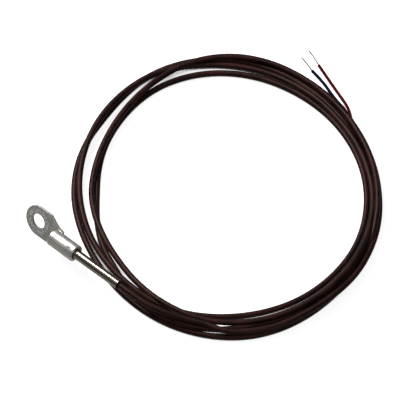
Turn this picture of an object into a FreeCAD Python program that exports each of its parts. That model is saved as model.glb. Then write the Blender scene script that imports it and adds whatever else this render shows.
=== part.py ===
import FreeCAD, Part

import math
import os

from FreeCAD import Placement, Rotation, Vector

# A ring-terminal thermocouple: a stamped ring tongue with a crimped barrel, a thin steel
# probe tube that holds the hot junction, and a two-core lead wound in a loose oval coil.
# Millimetres. The row's origin is the centre of the stud hole, +X runs along the probe
# towards the lead, +Z is up and the coil and the ring's lower edge rest on one floor.

# ---- driving dimensions: the terminal ----
stud_hole_r = 3.3            # clearance hole for a 1/4 in stud
tongue_r = 6.9               # half the tongue's width, and its rounded nose
tongue_t = 1.0
tongue_shoulder_x = 5.8      # where the straight sides end
tongue_tail = 2.5            # how far the tongue runs on under the barrel
neck_inset = 0.1             # the neck is this much narrower than the barrel, each side
neck_lead = 0.3              # and ends this much before it
corner_r = 1.1               # rounded outline at the shoulders
edge_r = 0.18                # rolled stamping edge
barrel_r = 3.6
barrel_wall = 1.0
barrel_front_x = 10.7
barrel_rear_x = 23.8
barrel_rear_r = 0.4          # rounded rear rim
barrel_front_chamfer = 0.15
seam_w = 0.26                # butt seam along the barrel's top
seam_sink = 0.14             # the braze lies this much below the barrel's surface
seam_front_gap = 0.2         # and stops this much before each rim
seam_rear_gap = 0.45
dot_ring_r = 4.55            # ring of punched locating dots round the hole
dot_count = 16
dot_depth = 0.14
dot_ball_r = 0.42
crimp_marks = (              # middle x, length, width, depth, degrees round from the seam
    (20.6, 3.8, 2.3, 0.75, 50),
    (12.6, 1.3, 1.1, 0.45, 56),
)

# ---- driving dimensions: the probe ----
tube_r = 2.0
tube_wall = 0.3
tube_front_x = 12.2
tube_rear_x = 47.9
tip_plug_t = 0.9
solder_front_x = 12.2
solder_rear_x = 22.4
bead_r = 0.9
bead_x = 14.6
core_r = 0.25                # 24 AWG solid wire
core_offset = 0.57           # each core's distance from the probe's axis
insulation_r = 0.55
insulation_front_x = 31.0
jacket_front_x = 39.0
seal_rear_x = 47.4

# ---- driving dimensions: how the probe lies ----
roll_deg = 74.0              # the ring stands nearly on its edge, its top face leaning to -Y
rise_deg = 1.5               # the probe climbs a little towards the coil that carries it

# ---- driving dimensions: the lead ----
cable_d = 2.5
coil_centre = Vector(42.3, 65.4, 0)
coil_turn_deg = 44.0         # the coil's narrow direction, from +X towards +Y
coil_outer = (63.1, 75.9)    # half widths across and along the oval
coil_inner = (53.3, 63.0)
coil_inner_shift = 2.2       # the bundle is wider on the probe's side
coil_h = 4.6                 # two layers of cable, the upper one in the lower one's dips


# ---- worked-out places ----
roll = math.radians(roll_deg)
rise = math.radians(rise_deg)
axis_z = barrel_r - tongue_t / 2     # the probe's axis above the tongue's middle plane
bore_r = barrel_r - barrel_wall
tube_bore_r = tube_r - tube_wall
jacket_r = cable_d / 2

# The ring's rolled lower edge is the probe's lowest place.
lean = math.hypot(math.sin(rise), math.sin(roll) * math.cos(rise))
floor_z = -((tongue_r - edge_r) * lean
            + (tongue_t / 2 - edge_r) * math.cos(roll) * math.cos(rise) + edge_r)

PROBE = Placement(Vector(0, 0, 0),
                  Rotation(Vector(0, 1, 0), -rise_deg) * Rotation(Vector(1, 0, 0), roll_deg))


def placed(x, y, z):
    """A point of the probe's own frame, in the row's frame."""
    return PROBE.multVec(Vector(x, y, z))


# Routes of the free stretches, chosen by hand: above the floor in the third number.
exit_point = placed(tube_rear_x, 0, axis_z) - Vector(0, 0, floor_z)
lead_route = [
    exit_point,
    exit_point + placed(6.5, 0, 0),
    Vector(62.5, -2.2, 8.0),
    Vector(70.5, 1.0, 6.5),
    Vector(78.0, 5.0, 5.3),
    Vector(85.0, 9.2, 4.6),
    Vector(92.0, 11.6, 4.1),
]
red_route = [
    Vector(52.5, 128.2, 2.9),
    Vector(48.2, 131.9, 2.4),
    Vector(42.4, 135.0, 1.0),
    Vector(35.3, 137.4, 0.6),
    Vector(27.7, 139.9, 0.6),
    Vector(20.6, 142.3, 0.6),
]
blue_route = [
    Vector(50.6, 129.0, 2.9),
    Vector(46.0, 131.6, 2.3),
    Vector(41.0, 133.0, 0.95),
    Vector(35.0, 134.7, 0.6),
    Vector(28.4, 137.0, 0.6),
    Vector(20.7, 138.3, 0.6),
]
red_tip_route = [
    Vector(20.6, 142.3, 0.6),
    Vector(16.3, 144.2, 0.5),
    Vector(12.0, 145.4, 0.3),
]
blue_tip_route = [
    Vector(20.7, 138.3, 0.6),
    Vector(16.4, 139.7, 0.5),
    Vector(12.5, 140.7, 0.3),
]


# ---- helpers ----
def rod(radius, x0, x1, y=0.0):
    """A round rod along the probe's axis."""
    return Part.makeCylinder(radius, x1 - x0, Vector(x0, y, axis_z), Vector(1, 0, 0))


def pipe(outer_r, inner_r, x0, x1, y=0.0):
    return rod(outer_r, x0, x1, y).cut(rod(inner_r, x0, x1, y))


def route_wire(points):
    """Straight runs joined by tangent arcs, as large as the runs allow."""
    edges = []
    start = points[0]
    for before, corner, after in zip(points, points[1:], points[2:]):
        back = before - corner
        ahead = after - corner
        half_turn = (math.pi - back.getAngle(ahead)) / 2
        setback = 0.45 * min(back.Length, ahead.Length)
        radius = setback / math.tan(half_turn)
        back.normalize()
        ahead.normalize()
        enter = corner + back * setback
        leave = corner + ahead * setback
        inward = back + ahead
        inward.normalize()
        middle = corner + inward * (radius / math.cos(half_turn) - radius)
        edges.append(Part.LineSegment(start, enter).toShape())
        edges.append(Part.Arc(enter, middle, leave).toShape())
        start = leave
        print("  arc radius %.1f" % radius)
    edges.append(Part.LineSegment(start, points[-1]).toShape())
    return Part.Wire(edges)


def cord_tube(name, points, radius):
    """A round tube along a route whose heights are counted from the floor."""
    print(name)
    lifted = [point + Vector(0, 0, floor_z) for point in points]
    path = route_wire(lifted)
    ring = Part.Wire(Part.makeCircle(radius, lifted[0], lifted[1] - lifted[0]))
    tube = path.makePipeShell([ring], True, True)
    print("  length %.1f, volume / section x length %.4f"
          % (path.Length, tube.Volume / (math.pi * radius ** 2 * path.Length)))
    return tube


def export(name, shape):
    shape.exportStep("parts/%s.step" % name)
    print("%-20s valid %s, solids %d" % (name, shape.isValid(), len(shape.Solids)))


# ---- the terminal ----
def tongue():
    """The flat stamping: a round nose, straight sides and shoulders into the barrel."""
    neck_x = barrel_front_x - neck_lead
    neck_half = barrel_r - neck_inset
    tail_x = barrel_front_x + tongue_tail
    nose = Part.Arc(Vector(0, -tongue_r, 0), Vector(-tongue_r, 0, 0), Vector(0, tongue_r, 0))
    corners = [
        Vector(0, tongue_r, 0),
        Vector(tongue_shoulder_x, tongue_r, 0),
        Vector(neck_x, neck_half, 0),
        Vector(tail_x, bore_r, 0),
        Vector(tail_x, -bore_r, 0),
        Vector(neck_x, -neck_half, 0),
        Vector(tongue_shoulder_x, -tongue_r, 0),
        Vector(0, -tongue_r, 0),
    ]
    edges = [nose.toShape()]
    for a, b in zip(corners, corners[1:]):
        edges.append(Part.LineSegment(a, b).toShape())
    plate = Part.Face(Part.Wire(edges)).extrude(Vector(0, 0, tongue_t))
    plate.translate(Vector(0, 0, -tongue_t / 2))
    upright = [edge for edge in plate.Edges
               if edge.BoundBox.ZLength > tongue_t / 2 and edge.BoundBox.XMin > 0.1
               and edge.BoundBox.XMax < neck_x - 0.1]
    plate = plate.makeFillet(corner_r, upright)
    rims = [edge for edge in plate.Edges
            if edge.BoundBox.ZLength < 0.01 and edge.BoundBox.XMax < neck_x + 0.1]
    plate = plate.makeFillet(edge_r, rims)
    return plate.cut(Part.makeCylinder(stud_hole_r, 2 * tongue_t, Vector(0, 0, -tongue_t)))


def punched_dots():
    """Shallow round marks in a ring on the tongue's top face."""
    balls = []
    for i in range(dot_count):
        angle = 2 * math.pi * (i + 0.5) / dot_count
        centre = Vector(dot_ring_r * math.cos(angle), dot_ring_r * math.sin(angle),
                        tongue_t / 2 + dot_ball_r - dot_depth)
        balls.append(Part.makeSphere(dot_ball_r, centre))
    return Part.makeCompound(balls)


def crimp_dent(x, length, width, depth, around_deg):
    """A three-sided indenter mark: pointed to the front, deepest in its middle."""
    outside = barrel_r + 0.4
    corners = [Vector(x - length / 2, 0, outside),
               Vector(x + length / 2, width / 2, outside),
               Vector(x + length / 2, -width / 2, outside),
               Vector(x + length / 8, 0, barrel_r - depth)]
    faces = []
    for skip in range(4):
        trio = [corners[i] for i in range(4) if i != skip]
        faces.append(Part.Face(Part.makePolygon(trio + trio[:1])))
    dent = Part.Solid(Part.makeShell(faces))
    dent.rotate(Vector(0, 0, 0), Vector(1, 0, 0), -around_deg)
    dent.translate(Vector(0, 0, axis_z))
    return dent


def seam_gap():
    return Part.makeBox(barrel_rear_x - barrel_front_x, seam_w, 2 * barrel_wall,
                        Vector(barrel_front_x, -seam_w / 2, axis_z + bore_r - barrel_wall / 2))


def ring_terminal():
    barrel = rod(barrel_r, barrel_front_x, barrel_rear_x)
    rear_rim = [edge for edge in barrel.Edges if edge.BoundBox.XMin > barrel_rear_x - 0.01]
    barrel = barrel.makeFillet(barrel_rear_r, rear_rim)
    front_rim = [edge for edge in barrel.Edges if edge.BoundBox.XMax < barrel_front_x + 0.01]
    barrel = barrel.makeChamfer(barrel_front_chamfer, front_rim)
    body = tongue().fuse(barrel)
    body = body.cut(rod(bore_r, barrel_front_x - 0.5, barrel_rear_x + 1))
    body = body.cut(seam_gap())
    body = body.cut(punched_dots())
    for mark in crimp_marks:
        body = body.cut(crimp_dent(*mark))
    return body


def seam_braze():
    """Braze that fills the barrel's seam, a little below its surface."""
    wall = pipe(barrel_r - seam_sink, bore_r,
                barrel_front_x + seam_front_gap, barrel_rear_x - seam_rear_gap)
    return wall.common(seam_gap())


# ---- the probe, from the tip back ----
def conductor(side):
    wire = rod(core_r, bead_x, tube_rear_x, side * core_offset)
    return wire.cut(hot_junction())


def insulation(side):
    return pipe(insulation_r, core_r, insulation_front_x, tube_rear_x, side * core_offset)


def jacket_end():
    jacket = rod(jacket_r, jacket_front_x, tube_rear_x)
    for side in (1, -1):
        jacket = jacket.cut(rod(insulation_r, jacket_front_x, tube_rear_x, side * core_offset))
    return jacket


def hot_junction():
    return Part.makeSphere(bead_r, Vector(bead_x, 0, axis_z))


def cement_fill():
    """Potting that holds the junction and the wires clear of the tube."""
    fill = rod(tube_bore_r, tube_front_x + tip_plug_t, jacket_front_x)
    fill = fill.cut(hot_junction())
    for side in (1, -1):
        fill = fill.cut(rod(core_r, bead_x, jacket_front_x, side * core_offset))
        fill = fill.cut(rod(insulation_r, insulation_front_x, jacket_front_x, side * core_offset))
    return fill


# ---- the coil ----
def oval(half_across, half_along, shift):
    """An upright oval column, its long way along the coil's length."""
    ellipse = Part.Ellipse(Vector(0, 0, 0), half_along, half_across)
    column = Part.Face(Part.Wire(ellipse.toShape())).extrude(Vector(0, 0, coil_h))
    column.rotate(Vector(0, 0, 0), Vector(0, 0, 1), 90)
    column.translate(Vector(shift, 0, 0))
    column.rotate(Vector(0, 0, 0), Vector(0, 0, 1), coil_turn_deg)
    column.translate(coil_centre + Vector(0, 0, floor_z))
    return column


def cable_coil():
    return oval(*coil_outer, 0).cut(oval(*coil_inner, coil_inner_shift))


# ---- build and write ----
def build():
    in_probe_frame = {
        "ring_terminal": ring_terminal(),
        "seam_braze": seam_braze(),
        "solder_fill": pipe(bore_r, tube_r, solder_front_x, solder_rear_x),
        "probe_tube": pipe(tube_r, tube_bore_r, tube_front_x, tube_rear_x),
        "tip_plug": rod(tube_bore_r, tube_front_x, tube_front_x + tip_plug_t),
        "hot_junction": hot_junction(),
        "copper_conductor": conductor(1),
        "constantan_conductor": conductor(-1),
        "blue_insulation": insulation(1),
        "red_insulation": insulation(-1),
        "cement_fill": cement_fill(),
        "rear_seal": pipe(tube_bore_r, jacket_r, jacket_front_x, seal_rear_x),
        "jacket_end": jacket_end(),
    }
    nodes = {}
    for name, shape in in_probe_frame.items():
        shape.Placement = PROBE.multiply(shape.Placement)
        nodes[name] = shape
    coil = cable_coil()
    nodes["cable_coil"] = coil
    nodes["cable_lead"] = cord_tube("cable_lead", lead_route, jacket_r).cut(coil)
    nodes["red_lead"] = cord_tube("red_lead", red_route, insulation_r).cut(coil)
    nodes["blue_lead"] = cord_tube("blue_lead", blue_route, insulation_r).cut(coil)
    nodes["red_tip"] = cord_tube("red_tip", red_tip_route, core_r).cut(nodes["red_lead"])
    nodes["blue_tip"] = cord_tube("blue_tip", blue_tip_route, core_r).cut(nodes["blue_lead"])
    for name, shape in nodes.items():
        export(name, shape)
    print("floor at z %.3f, stud hole axis %s" % (floor_z, placed(0, 0, 1)))


os.makedirs("parts", exist_ok=True)
build()
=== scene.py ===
import math

import bmesh
import bpy
from bpy.props import FloatProperty, FloatVectorProperty, PointerProperty
from mathutils import Matrix, Vector


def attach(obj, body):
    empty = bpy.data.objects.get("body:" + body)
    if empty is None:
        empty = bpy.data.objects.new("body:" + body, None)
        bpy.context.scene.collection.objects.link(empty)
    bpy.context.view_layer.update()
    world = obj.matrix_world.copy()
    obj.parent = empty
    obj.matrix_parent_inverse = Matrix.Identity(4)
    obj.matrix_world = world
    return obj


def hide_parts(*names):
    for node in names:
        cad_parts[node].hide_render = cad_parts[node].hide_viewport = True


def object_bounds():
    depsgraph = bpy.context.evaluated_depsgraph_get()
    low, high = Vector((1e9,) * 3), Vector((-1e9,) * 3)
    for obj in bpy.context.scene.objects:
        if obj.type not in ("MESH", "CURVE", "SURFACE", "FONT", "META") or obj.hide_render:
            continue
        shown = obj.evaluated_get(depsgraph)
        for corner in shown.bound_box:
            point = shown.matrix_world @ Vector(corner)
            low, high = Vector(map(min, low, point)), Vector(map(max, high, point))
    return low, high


bl_info = {
    "name": "Ring terminal thermocouple",
    "version": (1, 0, 0),
    "blender": (4, 5, 0),
    "location": "3D View > Sidebar > Thermocouple",
    "description": "Coiled lead, stripped singles and metal finishes of a ring terminal thermocouple",
    "category": "Object",
}

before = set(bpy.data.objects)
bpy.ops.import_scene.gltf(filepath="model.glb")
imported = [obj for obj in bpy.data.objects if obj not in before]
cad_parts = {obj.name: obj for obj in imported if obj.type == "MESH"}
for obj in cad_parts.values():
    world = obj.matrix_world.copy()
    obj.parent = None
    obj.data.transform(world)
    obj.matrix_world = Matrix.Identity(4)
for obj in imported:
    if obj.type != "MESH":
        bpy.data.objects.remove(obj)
CAD_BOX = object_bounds()
FLOOR_Z = CAD_BOX[0].z
BODY = "root"

# ---- the jacketed lead's free stretch: metres, heights above the floor ----
LEAD_ROUTE = [
    (0.04786, -0.00298, 0.00884),
    (0.05436, -0.00298, 0.00901),
    (0.0625, -0.0022, 0.0080),
    (0.0705, 0.0010, 0.0065),
    (0.0780, 0.0050, 0.0053),
    (0.0850, 0.0092, 0.0046),
    (0.0920, 0.0116, 0.0041),
]

# ---- the coil: an oval, whose turns wander outwards and inwards ----
COIL_CENTRE = (0.0423, 0.0654)
COIL_TURN = math.radians(44)      # its narrow direction, from +X towards +Y
INNER_HALF = (0.0544, 0.0641)     # half widths of the innermost line, across and along
STATION_DEG = 12                  # from one control point to the next
COIL_START_DEG = 276
COIL_END_DEG = 1836
FIRST_TURN_DEG = 222              # where the first turn begins, below the probe
LAST_TURN = 5
ON_TOP_AGAIN_DEG = 1785           # here the last turn climbs back over the others
BRIDGING_PASSES = 3               # a stiff lead bridges the dips between what it rests on

# How far out each turn wanders, in the lead's own diameters, at every LANE_STEP_DEG.
LANES_START_DEG = 260
LANE_STEP_DEG = 20
TURNS = (
    (2.5, 4.0, 3.8, 4.0, 3.6, 3.0, 2.7, 2.7, 2.9, 3.4, 3.1, 1.6, 0.4, 0.0, 0.2, -0.3, -0.6, 0.4),
    (1.4, 1.9, 2.5, 2.7, 2.4, 1.9, 1.2, 0.7, 1.1, 1.9, 2.6, 3.1, 3.0, 2.6, 2.1, 1.5, 1.3, 0.9),
    (0.0, -0.3, 0.1, 0.6, 1.1, 1.0, 0.6, 0.3, 0.1, 0.4, 0.8, 0.9, 0.3, -0.2, -0.8, 0.1, 0.7, 2.8),
    (3.2, 2.3, 2.9, 3.0, 2.5, 1.9, 1.6, 1.7, 2.1, 3.0, 3.8, 3.8, 2.7, 3.1, 3.0, 2.5, 2.5, 3.1),
    (3.8, 4.2, 3.6, 3.1, 3.2, 2.7, 2.4, 2.3),
)
LANES = [lane for turn in TURNS for lane in turn]

# ---- the stripped singles ----
RED_ROUTE = [
    (0.0525, 0.1282, 0.0029),
    (0.0482, 0.1319, 0.0024),
    (0.0424, 0.1350, 0.0010),
    (0.0353, 0.1374, 0.0006),
    (0.0277, 0.1399, 0.0006),
    (0.0206, 0.1423, 0.0006),
]
BLUE_ROUTE = [
    (0.0506, 0.1290, 0.0029),
    (0.0460, 0.1316, 0.0023),
    (0.0410, 0.1330, 0.00095),
    (0.0350, 0.1347, 0.0006),
    (0.0284, 0.1370, 0.0006),
    (0.0207, 0.1383, 0.0006),
]
RED_LENGTH = 0.035
BLUE_LENGTH = 0.032
RED_TIP_ROUTE = [(0.0206, 0.1423, 0.0006), (0.0163, 0.1442, 0.0005), (0.0120, 0.1454, 0.0003)]
BLUE_TIP_ROUTE = [(0.0207, 0.1383, 0.0006), (0.0164, 0.1397, 0.0005), (0.0125, 0.1407, 0.0003)]

# ---- the terminal ----
TONGUE_ROLL = math.radians(74)    # it lies turned on its edge
BARREL_BEGINS = (0.0095, 0.0112)  # along X, from the tongue's finish to the barrel's
RING_BAND = (0.0038, 0.0042, 0.0052, 0.0058)   # from the hole's middle: in, full, full, out

# ---- the stage ----
VIEW_MIDDLE = (COIL_CENTRE[0] - 0.00647, COIL_CENTRE[1] - 0.0088, FLOOR_Z + 0.001)
FLOOR_HALF = 4
FLOOR_GREY = (0.8, 0.8, 0.8)
# colour of the floor's painted contact shadow, under and between the strands
CONTACT_SHADE = (0.015, 0.010, 0.010)
CONTACT_REACH = 0.004             # how far the floor's painted contact shadow reaches
KEY_PLACE = (-0.78, 0.036, 0.912)
FILL_PLACE = (0.9, -0.6, 1.0)
FILL_POWER = 3.0
STUDIO_AIR = ((0.0, 0.30), (0.40, 0.26), (0.52, 0.02), (0.70, 0.05), (0.86, 0.16), (1.0, 0.3))


# ---- settings ----
def size_property(name, description, default):
    return FloatProperty(name=name, description=description, default=default, unit="LENGTH")


def colour_property(name, description, default):
    return FloatVectorProperty(name=name, description=description, default=default,
                               subtype="COLOR", size=3, min=0, max=1)


class LeadSettings(bpy.types.PropertyGroup):
    jacket_d: size_property("Jacket diameter", "Outside of the brown jacket", 0.0025)
    single_d: size_property("Single diameter", "Outside of one insulated conductor", 0.00125)
    wire_d: size_property("Wire diameter", "One bare conductor", 0.0005)
    length: size_property("Lead length", "Along the lead, from the tube to the jacket's end", 1.81)
    jacket_colour: colour_property("Jacket", "Brown of the jacket", (0.033, 0.0105, 0.0085))
    jacket_shade: colour_property("Jacket shade", "Darker brown of the jacket",
                                  (0.010, 0.0040, 0.0036))
    blue_colour: colour_property("Blue", "Positive conductor's insulation", (0.0008, 0.0018, 0.022))
    red_colour: colour_property("Red", "Negative conductor's insulation", (0.11, 0.0004, 0.0018))


class MetalSettings(bpy.types.PropertyGroup):
    tin_colour: colour_property("Tin", "Plating of the terminal", (0.62, 0.60, 0.56))
    steel_colour: colour_property("Steel", "Probe tube", (0.52, 0.46, 0.37))
    copper_colour: colour_property("Copper", "Positive conductor", (0.16, 0.14, 0.125))
    constantan_colour: colour_property("Constantan", "Negative conductor", (0.14, 0.13, 0.12))


class StageSettings(bpy.types.PropertyGroup):
    lens: FloatProperty(name="Lens", description="Focal length in mm", default=1400.0)
    frame_width: size_property("Frame width", "Width of the view at the coil", 0.1624)
    azimuth: FloatProperty(name="Azimuth", description="Camera's turn round the object",
                           default=math.radians(44), subtype="ANGLE")
    elevation: FloatProperty(name="Elevation", description="Camera's height angle",
                             default=math.radians(50), subtype="ANGLE")
    key_power: FloatProperty(name="Key light", description="Power of the soft box overhead",
                             default=12.0)


# ---- node helpers ----
class Recipe:
    """A material's node tree, with short calls for the nodes that the finishes share."""

    def __init__(self, name, **constants):
        self.material = bpy.data.materials.new(name)
        self.material.use_nodes = True
        self.tree = self.material.node_tree
        self.shader = self.tree.nodes["Principled BSDF"]
        for socket, value in constants.items():
            self.shader.inputs[socket.replace("_", " ")].default_value = value

    def node(self, kind, **values):
        node = self.tree.nodes.new(kind)
        for name, value in values.items():
            setattr(node, name, value)
        return node

    def link(self, source, target):
        self.tree.links.new(source, target)

    def place(self, output="Object", scale=(1, 1, 1), turn=(0, 0, 0), move=(0, 0, 0)):
        coordinates = self.node("ShaderNodeTexCoord")
        mapping = self.node("ShaderNodeMapping")
        mapping.inputs["Scale"].default_value = scale
        mapping.inputs["Rotation"].default_value = turn
        mapping.inputs["Location"].default_value = move
        self.link(coordinates.outputs[output], mapping.inputs["Vector"])
        return mapping.outputs["Vector"]

    def noise(self, vector, scale, detail=4.0, roughness=0.5):
        noise = self.node("ShaderNodeTexNoise")
        noise.inputs["Scale"].default_value = scale
        noise.inputs["Detail"].default_value = detail
        noise.inputs["Roughness"].default_value = roughness
        self.link(vector, noise.inputs["Vector"])
        return noise.outputs["Fac"]

    def span(self, value, low, high, to_low, to_high, smooth=False):
        span = self.node("ShaderNodeMapRange")
        if smooth:
            span.interpolation_type = "SMOOTHSTEP"
        span.inputs["From Min"].default_value = low
        span.inputs["From Max"].default_value = high
        span.inputs["To Min"].default_value = to_low
        span.inputs["To Max"].default_value = to_high
        self.link(value, span.inputs["Value"])
        return span.outputs["Result"]

    def maths(self, operation, first, second):
        maths = self.node("ShaderNodeMath", operation=operation)
        for socket, value in zip(maths.inputs, (first, second)):
            if isinstance(value, (int, float)):
                socket.default_value = value
            else:
                self.link(value, socket)
        return maths.outputs["Value"]

    def blend(self, factor, first, second):
        mix = self.node("ShaderNodeMix", data_type="RGBA")
        self.link(factor, mix.inputs["Factor"])
        for socket, value in zip(mix.inputs[6:8], (first, second)):
            if hasattr(value, "node"):
                self.link(value, socket)
            else:
                socket.default_value = (*value, 1)
        return mix.outputs[2]

    def colour(self, value):
        self.link(value, self.shader.inputs["Base Color"])

    def roughness(self, value):
        self.link(value, self.shader.inputs["Roughness"])

    def bump(self, height, depth, strength=1.0):
        bump = self.node("ShaderNodeBump")
        bump.inputs["Distance"].default_value = depth
        bump.inputs["Strength"].default_value = strength
        self.link(height, bump.inputs["Height"])
        self.link(bump.outputs["Normal"], self.shader.inputs["Normal"])


def scaled(colour, share):
    return tuple(channel * share for channel in colour)


# ---- finishes ----
def brown_jacket(settings, length):
    """Extruded jacket: faint draw lines along it, mottled brown, soft gloss."""
    recipe = Recipe("brown_jacket", Specular_IOR_Level=0.25, Specular_Tint=(1.0, 0.66, 0.58, 1))
    along = recipe.place("UV", scale=(1, length / 0.0072, 1))
    lines = recipe.noise(recipe.place("UV", scale=(14, length / 0.03, 1)), 1.0, 3.0)
    body = recipe.place("Object")
    mottle = recipe.noise(body, 140.0, 5.0, 0.6)
    tint = recipe.span(mottle, 0.36, 0.66, 0, 1, smooth=True)
    recipe.colour(recipe.blend(tint, tuple(settings.jacket_shade), tuple(settings.jacket_colour)))
    grain = recipe.noise(body, 2600.0, 3.0)
    rough = recipe.maths("ADD", recipe.span(lines, 0.3, 0.7, 0.34, 0.46),
                         recipe.span(mottle, 0.3, 0.7, 0.0, 0.1))
    recipe.roughness(rough)
    wave = recipe.noise(along, 1.0, 2.0)
    height = recipe.maths("ADD", recipe.maths("MULTIPLY", grain, 0.25),
                          recipe.maths("ADD", recipe.maths("MULTIPLY", lines, 0.5), wave))
    recipe.bump(height, 0.00006, 0.55)
    return recipe.material


def insulation_finish(name, colour):
    """Thin coloured insulation, a little mottled, with soft gloss."""
    recipe = Recipe(name, Specular_IOR_Level=0.03)
    body = recipe.place("Object")
    mottle = recipe.noise(body, 420.0, 4.0)
    tint = recipe.span(mottle, 0.35, 0.68, 0, 1, smooth=True)
    recipe.colour(recipe.blend(tint, scaled(colour, 0.6), colour))
    recipe.roughness(recipe.span(mottle, 0.3, 0.7, 0.3, 0.45))
    recipe.bump(recipe.noise(body, 3800.0, 2.0), 0.00002, 0.5)
    return recipe.material


def tinned_copper(colour):
    """Bright tin over stamped copper: dull and matt on the tongue; on the barrel glossier, scuffed,
    and brighter in tone, a painted brightness for the light it catches; painted white glints round
    the stud hole.
    """
    recipe = Recipe("tinned_copper", Specular_IOR_Level=0.4)
    body = recipe.place("Object")
    position = recipe.node("ShaderNodeSeparateXYZ")
    recipe.link(body, position.inputs["Vector"])
    barrel = recipe.span(position.outputs["X"], *BARREL_BEGINS, 0, 1, smooth=True)
    cloud = recipe.noise(body, 420.0, 6.0, 0.62)
    grain = recipe.noise(body, 2400.0, 4.0, 0.6)
    streak = recipe.noise(recipe.place("Object", scale=(0.12, 1, 1)), 2600.0, 3.0)
    shade = recipe.span(cloud, 0.36, 0.64, 0, 1, smooth=True)
    # The barrel's tin gets a brighter tone than the tongue's: painted brightness for the light the
    # barrel catches, over one and the same plating.
    dull = recipe.blend(shade, scaled(colour, 1.0), scaled(colour, 1.3))
    painted_bright_barrel = recipe.blend(shade, scaled(colour, 1.25), scaled(colour, 1.6))
    # Punch dents round the hole: real relief in the bump, but their near-white colour with little
    # metal is a painted glint.
    dents_and_painted_glints = recipe.maths("MULTIPLY", hole_ring(recipe),
                           recipe.span(recipe.noise(body, 1300.0, 1.0), 0.5, 0.56, 0, 1))
    recipe.colour(recipe.blend(dents_and_painted_glints, recipe.blend(barrel, dull, painted_bright_barrel), (1.0, 1.0, 0.98)))
    recipe.link(recipe.maths("MULTIPLY", recipe.span(barrel, 0, 1, 0.85, 0.8),
                             recipe.span(dents_and_painted_glints, 0, 1, 1, 0.1)), recipe.shader.inputs["Metallic"])
    matt = recipe.span(barrel, 0, 1, 0.55, 0.36)
    recipe.roughness(recipe.maths("ADD", matt, recipe.span(streak, 0.3, 0.7, -0.06, 0.08)))
    relief = recipe.maths("ADD", grain, recipe.maths("MULTIPLY", dents_and_painted_glints, 3.0))
    recipe.bump(recipe.maths("ADD", relief, recipe.maths("MULTIPLY", cloud, 1.5)), 0.00004, 0.35)
    return recipe.material


def hole_ring(recipe):
    """The band round the stud hole that the punch has roughened, where the painted white glints also
    sit.
    """
    flat = recipe.place("Object", turn=(-TONGUE_ROLL, 0, 0))
    across = recipe.node("ShaderNodeVectorMath", operation="MULTIPLY")
    across.inputs[1].default_value = (1, 1, 0)
    recipe.link(flat, across.inputs[0])
    reach = recipe.node("ShaderNodeVectorMath", operation="LENGTH")
    recipe.link(across.outputs["Vector"], reach.inputs[0])
    inner = recipe.span(reach.outputs["Value"], *RING_BAND[:2], 0, 1, smooth=True)
    outer = recipe.span(reach.outputs["Value"], *RING_BAND[2:], 1, 0, smooth=True)
    return recipe.maths("MULTIPLY", inner, outer)


def probe_steel(colour):
    """Drawn stainless tube: long fine draw lines and a faint straw tint."""
    recipe = Recipe("probe_steel", Metallic=1.0)
    lines = recipe.noise(recipe.place("Object", scale=(0.03, 1, 1)), 3200.0, 4.0, 0.6)
    cloud = recipe.noise(recipe.place("Object", scale=(0.4, 1, 1)), 260.0, 4.0)
    shade = recipe.span(cloud, 0.35, 0.66, 0, 1, smooth=True)
    recipe.colour(recipe.blend(shade, scaled(colour, 0.78), colour))
    recipe.roughness(recipe.span(lines, 0.3, 0.7, 0.18, 0.24))
    recipe.bump(lines, 0.000004, 0.3)
    return recipe.material


def wire_metal(name, colour, roughness=0.4):
    """Drawn wire, slightly tarnished."""
    recipe = Recipe(name, Metallic=1.0)
    body = recipe.place("Object")
    cloud = recipe.noise(body, 500.0, 4.0)
    recipe.colour(recipe.blend(recipe.span(cloud, 0.35, 0.65, 0, 1, smooth=True),
                               scaled(colour, 0.7), colour))
    recipe.roughness(recipe.span(cloud, 0.3, 0.7, roughness - 0.06, roughness + 0.1))
    recipe.bump(recipe.noise(body, 5000.0, 3.0), 0.00001, 0.5)
    return recipe.material


def rough_metal(name, colour, roughness, grain_scale, depth):
    """Metal that has been molten: small ripples and dull patches."""
    recipe = Recipe(name, Metallic=1.0)
    body = recipe.place("Object")
    ripple = recipe.noise(body, grain_scale, 5.0, 0.6)
    recipe.colour(recipe.blend(recipe.span(ripple, 0.35, 0.65, 0, 1, smooth=True),
                               scaled(colour, 0.55), colour))
    recipe.roughness(recipe.span(ripple, 0.3, 0.7, roughness, roughness + 0.18))
    recipe.bump(ripple, depth, 0.6)
    return recipe.material


def filler(name, colour, roughness, grain_scale, depth):
    """Cement or resin: grained and uneven."""
    recipe = Recipe(name, Specular_IOR_Level=0.4)
    body = recipe.place("Object")
    grain = recipe.noise(body, grain_scale, 6.0, 0.65)
    recipe.colour(recipe.blend(recipe.span(grain, 0.35, 0.65, 0, 1), scaled(colour, 0.6), colour))
    recipe.roughness(recipe.span(grain, 0.3, 0.7, roughness, min(1.0, roughness + 0.2)))
    recipe.bump(grain, depth, 0.6)
    return recipe.material


# ---- the lead's line ----
def lane_at(degrees):
    """How far out the lead lies there: a smooth line through the turns' lanes."""
    last = len(LANES) - 1
    place = (degrees - LANES_START_DEG) / LANE_STEP_DEG
    k = int(place)
    t = place - k
    before, here, after, beyond = (LANES[min(max(k + step, 0), last)] for step in (-1, 0, 1, 2))
    rise_here, rise_after = (after - before) / 2, (beyond - here) / 2
    return ((2 * t ** 3 - 3 * t ** 2 + 1) * here + (t ** 3 - 2 * t ** 2 + t) * rise_here
            + (3 * t ** 2 - 2 * t ** 3) * after + (t ** 3 - t ** 2) * rise_after)


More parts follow.
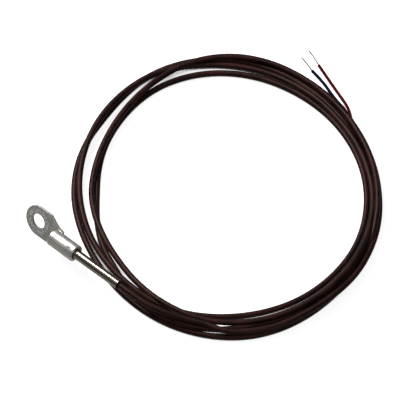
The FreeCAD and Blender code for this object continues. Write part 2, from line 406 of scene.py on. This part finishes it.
def coil_point(degrees, lane, diameter):
    """A point on the floor's plane, a lane outside the innermost line."""
    angle = math.radians(degrees)
    half_across, half_along = INNER_HALF
    on_oval = Vector((half_across * math.cos(angle), half_along * math.sin(angle)))
    outwards = Vector((math.cos(angle) / half_across, math.sin(angle) / half_along))
    spot = on_oval + outwards.normalized() * lane * diameter
    spot /= math.cos(math.radians(STATION_DEG) / 2)   # the spline cuts inside its points
    spot.rotate(Matrix.Rotation(COIL_TURN, 2))
    return spot + Vector(COIL_CENTRE)


def laying_order(degrees):
    """The first turn was thrown over the others, and the last one ends on top of all."""
    turn = int((degrees - FIRST_TURN_DEG) // 360) + 1
    if degrees >= ON_TOP_AGAIN_DEG:
        return LAST_TURN
    return LAST_TURN - turn


def resting_heights(stations, lanes, diameter):
    """Each stretch lies on the floor, or on the stretches beneath that it crosses or overlaps."""
    per_turn = 360 // STATION_DEG
    heights = [diameter / 2] * len(stations)
    placed = set()
    for i in sorted(range(len(stations)), key=lambda i: laying_order(stations[i])):
        for j in range(i % per_turn, len(stations), per_turn):
            if j not in placed:
                continue
            gaps = []
            for step in (-1, 0, 1):
                if 0 <= min(i, j) + step and max(i, j) + step < len(stations):
                    gaps.append((lanes[i + step] - lanes[j + step]) * diameter)
            crossing = min(gaps) < 0 < max(gaps)
            gap = 0 if crossing else abs(lanes[i] - lanes[j]) * diameter
            if gap < diameter:
                heights[i] = max(heights[i], heights[j] + math.sqrt(diameter ** 2 - gap ** 2))
        placed.add(i)
    rest = list(heights)
    for _ in range(BRIDGING_PASSES):
        before = list(heights)
        for i in range(1, len(heights) - 1):
            bridged = before[i - 1] / 4 + before[i] / 2 + before[i + 1] / 4
            heights[i] = max(rest[i], bridged)
    return heights


def coil_line(diameter):
    """The coil's control points, worked out station by station."""
    stations = list(range(COIL_START_DEG, COIL_END_DEG + 1, STATION_DEG))
    lanes = [lane_at(degrees) for degrees in stations]
    heights = resting_heights(stations, lanes, diameter)
    points = []
    for degrees, lane, height in zip(stations, lanes, heights):
        spot = coil_point(degrees, lane, diameter)
        points.append((spot.x, spot.y, height))
    return points


# ---- piece helpers ----
def cord_curve(name, route, diameter, material, around=5):
    """One smooth round cord, whose heights are counted from the floor."""
    curve = bpy.data.curves.new(name, "CURVE")
    curve.dimensions = "3D"
    curve.resolution_u = 10
    curve.bevel_depth = diameter / 2
    curve.bevel_resolution = around
    curve.use_fill_caps = True
    spline = curve.splines.new("NURBS")
    spline.points.add(len(route) - 1)
    for point, (x, y, height) in zip(spline.points, route):
        point.co = (x, y, height + FLOOR_Z, 1)
    spline.order_u = 3
    spline.use_endpoint_u = True
    curve.materials.append(material)
    piece = bpy.data.objects.new(name, curve)
    bpy.context.scene.collection.objects.link(piece)
    return piece


def finish_node(node, material):
    """A CAD piece keeps its shape and gets its finish."""
    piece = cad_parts[node]
    piece.data.materials.clear()
    piece.data.materials.append(material)


# ---- operators ----
class THERMOCOUPLE_OT_stage(bpy.types.Operator):
    """Camera, soft light and a plain pale floor"""
    bl_idname = "thermocouple.stage"
    bl_label = "Stage"

    def execute(self, context):
        settings = context.scene.thermocouple_stage
        self.add_camera(context, settings)
        self.add_floor(context)
        self.add_lights(context, settings)
        self.add_world(context)
        context.scene.view_settings.view_transform = "Standard"
        return {"FINISHED"}

    def add_camera(self, context, settings):
        camera = bpy.data.cameras.new("camera")
        camera.lens = settings.lens
        camera.sensor_width = 36
        camera.clip_end = 50
        holder = bpy.data.objects.new("camera", camera)
        context.scene.collection.objects.link(holder)
        flat = math.cos(settings.elevation)
        back = Vector((math.sin(settings.azimuth) * flat, -math.cos(settings.azimuth) * flat,
                       math.sin(settings.elevation)))
        target = Vector(VIEW_MIDDLE)
        distance = settings.frame_width * camera.lens / camera.sensor_width
        holder.location = target + back * distance
        holder.rotation_euler = back.to_track_quat("Z", "Y").to_euler()
        context.scene.camera = holder

    def add_floor(self, context):
        form = bmesh.new()
        bmesh.ops.create_grid(form, x_segments=1, y_segments=1, size=FLOOR_HALF)
        bmesh.ops.translate(form, verts=form.verts, vec=(0, 0, FLOOR_Z))
        mesh = bpy.data.meshes.new("floor")
        form.to_mesh(mesh)
        form.free()
        floor = bpy.data.objects.new("floor", mesh)
        context.scene.collection.objects.link(floor)
        recipe = Recipe("studio_floor", Roughness=0.9, Specular_IOR_Level=0.0)
        # Painted contact shadow: ambient occlusion darkens the floor's colour and dims its glow where
        # strands stand close above.
        contact = recipe.node("ShaderNodeAmbientOcclusion", samples=16)
        contact.inputs["Distance"].default_value = CONTACT_REACH
        open_sky = recipe.span(contact.outputs["AO"], 0.22, 0.35, 0, 1, smooth=True)
        recipe.colour(recipe.blend(open_sky, CONTACT_SHADE, FLOOR_GREY))
        recipe.shader.inputs["Emission Color"].default_value = (1, 1, 1, 1)
        recipe.link(recipe.maths("MULTIPLY", open_sky, FLOOR_GREY[0]),
                    recipe.shader.inputs["Emission Strength"])
        mesh.materials.append(recipe.material)
        floor.visible_glossy = False
        floor.visible_diffuse = False

    def add_lights(self, context, settings):
        middle = Vector((*COIL_CENTRE, FLOOR_Z))
        self.soft_box(context, "key", middle + Vector(KEY_PLACE), middle, 0.42, settings.key_power)
        self.soft_box(context, "fill", middle + Vector(FILL_PLACE), middle, 0.8, FILL_POWER)

    def soft_box(self, context, name, place, target, size, power):
        light = bpy.data.lights.new(name, "AREA")
        light.shape = "SQUARE"
        light.size = size
        light.energy = power
        holder = bpy.data.objects.new(name, light)
        context.scene.collection.objects.link(holder)
        holder.location = place
        holder.rotation_euler = (place - target).to_track_quat("Z", "Y").to_euler()

    def add_world(self, context):
        """Grey studio air, darkest just above the horizon, with a plain white backdrop."""
        world = bpy.data.worlds.new("studio")
        context.scene.world = world
        world.use_nodes = True
        tree = world.node_tree
        nodes, links = tree.nodes, tree.links
        background = nodes["Background"]
        coordinates = nodes.new("ShaderNodeTexCoord")
        parts = nodes.new("ShaderNodeSeparateXYZ")
        ramp = nodes.new("ShaderNodeValToRGB")
        links.new(coordinates.outputs["Generated"], parts.inputs["Vector"])
        span = nodes.new("ShaderNodeMapRange")
        span.inputs["From Min"].default_value = -1
        links.new(parts.outputs["Z"], span.inputs["Value"])
        links.new(span.outputs["Result"], ramp.inputs["Fac"])
        elements = ramp.color_ramp.elements
        while len(elements) < len(STUDIO_AIR):
            elements.new(0.5)
        for element, (position, grey) in zip(elements, STUDIO_AIR):
            element.position = position
            element.color = (grey, grey, grey, 1)
        links.new(ramp.outputs["Color"], background.inputs["Color"])
        white = nodes.new("ShaderNodeBackground")
        paths = nodes.new("ShaderNodeLightPath")
        mix = nodes.new("ShaderNodeMixShader")
        links.new(paths.outputs["Is Camera Ray"], mix.inputs["Fac"])
        links.new(background.outputs["Background"], mix.inputs[1])
        links.new(white.outputs["Background"], mix.inputs[2])
        white.inputs["Color"].default_value = (1, 1, 1, 1)
        links.new(mix.outputs["Shader"], nodes["World Output"].inputs["Surface"])


class THERMOCOUPLE_OT_lead(bpy.types.Operator):
    """The brown jacketed lead, from the probe tube round the coil to its stripped end"""
    bl_idname = "thermocouple.lead"
    bl_label = "Jacketed lead"

    def execute(self, context):
        settings = context.scene.thermocouple_lead
        finish = brown_jacket(settings, settings.length)
        route = LEAD_ROUTE + coil_line(settings.jacket_d)
        lead = cord_curve("jacketed_lead", route, settings.jacket_d, finish, around=6)
        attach(lead, BODY)
        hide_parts("cable_lead", "cable_coil")
        finish_node("jacket_end", finish)
        return {"FINISHED"}


class THERMOCOUPLE_OT_singles(bpy.types.Operator):
    """The blue and the red insulated conductors with their bare ends"""
    bl_idname = "thermocouple.singles"
    bl_label = "Stripped singles"

    def execute(self, context):
        lead = context.scene.thermocouple_lead
        metal = context.scene.thermocouple_metal
        self.single("blue", BLUE_ROUTE, BLUE_TIP_ROUTE, lead, BLUE_LENGTH, lead.blue_colour,
                    wire_metal("copper", tuple(metal.copper_colour)), "copper")
        self.single("red", RED_ROUTE, RED_TIP_ROUTE, lead, RED_LENGTH, lead.red_colour,
                    wire_metal("constantan", tuple(metal.constantan_colour)), "constantan")
        return {"FINISHED"}

    def single(self, name, route, tip_route, lead, length, colour, metal, metal_slot):
        slot = name + "_insulation"
        finish = insulation_finish(slot, tuple(colour))
        tip = cord_curve(name + "_bare_end", tip_route, lead.wire_d, metal, around=3)
        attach(tip, BODY)
        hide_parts(name + "_tip")
        single = cord_curve(name + "_single", route, lead.single_d, finish, around=4)
        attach(single, BODY)
        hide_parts(name + "_lead")
        finish_node(slot, finish)
        finish_node(metal_slot + "_conductor", metal)


class THERMOCOUPLE_OT_terminal(bpy.types.Operator):
    """Finishes of the ring terminal, its seam and its solder"""
    bl_idname = "thermocouple.terminal"
    bl_label = "Ring terminal"

    def execute(self, context):
        metal = context.scene.thermocouple_metal
        finish_node("ring_terminal", tinned_copper(tuple(metal.tin_colour)))
        finish_node("seam_braze", rough_metal("braze", (0.42, 0.36, 0.26), 0.3, 900, 0.00005))
        finish_node("solder_fill", rough_metal("solder", (0.5, 0.5, 0.5), 0.3, 700, 0.00006))
        return {"FINISHED"}


class THERMOCOUPLE_OT_probe(bpy.types.Operator):
    """Finishes of the probe tube and of what it holds"""
    bl_idname = "thermocouple.probe"
    bl_label = "Probe"

    def execute(self, context):
        metal = context.scene.thermocouple_metal
        steel = probe_steel(tuple(metal.steel_colour))
        finish_node("probe_tube", steel)
        finish_node("tip_plug", steel)
        finish_node("hot_junction", rough_metal("weld_bead", (0.45, 0.40, 0.36), 0.35, 1500,
                                                0.00004))
        finish_node("cement_fill", filler("cement", (0.62, 0.60, 0.55), 0.75, 1400, 0.00008))
        finish_node("rear_seal", filler("epoxy", (0.02, 0.018, 0.016), 0.25, 500, 0.00003))
        return {"FINISHED"}


class THERMOCOUPLE_PT_panel(bpy.types.Panel):
    bl_label = "Thermocouple"
    bl_idname = "THERMOCOUPLE_PT_panel"
    bl_space_type = "VIEW_3D"
    bl_region_type = "UI"
    bl_category = "Thermocouple"

    def draw(self, context):
        for operator in OPERATORS:
            self.layout.operator(operator.bl_idname)
        for group in ("thermocouple_lead", "thermocouple_metal", "thermocouple_stage"):
            settings = getattr(context.scene, group)
            column = self.layout.column()
            for name in settings.__annotations__:
                column.prop(settings, name)


OPERATORS = (
    THERMOCOUPLE_OT_stage,
    THERMOCOUPLE_OT_lead,
    THERMOCOUPLE_OT_singles,
    THERMOCOUPLE_OT_terminal,
    THERMOCOUPLE_OT_probe,
)
SETTINGS = (LeadSettings, MetalSettings, StageSettings)


def register():
    for kind in (*SETTINGS, *OPERATORS, THERMOCOUPLE_PT_panel):
        bpy.utils.register_class(kind)
    bpy.types.Scene.thermocouple_lead = PointerProperty(type=LeadSettings)
    bpy.types.Scene.thermocouple_metal = PointerProperty(type=MetalSettings)
    bpy.types.Scene.thermocouple_stage = PointerProperty(type=StageSettings)


def unregister():
    del bpy.types.Scene.thermocouple_stage
    del bpy.types.Scene.thermocouple_metal
    del bpy.types.Scene.thermocouple_lead
    for kind in reversed((*SETTINGS, *OPERATORS, THERMOCOUPLE_PT_panel)):
        bpy.utils.unregister_class(kind)


def main():
    register()
    bpy.ops.thermocouple.stage()
    bpy.ops.thermocouple.lead()
    bpy.ops.thermocouple.singles()
    bpy.ops.thermocouple.terminal()
    bpy.ops.thermocouple.probe()


if __name__ == "__main__":
    main()
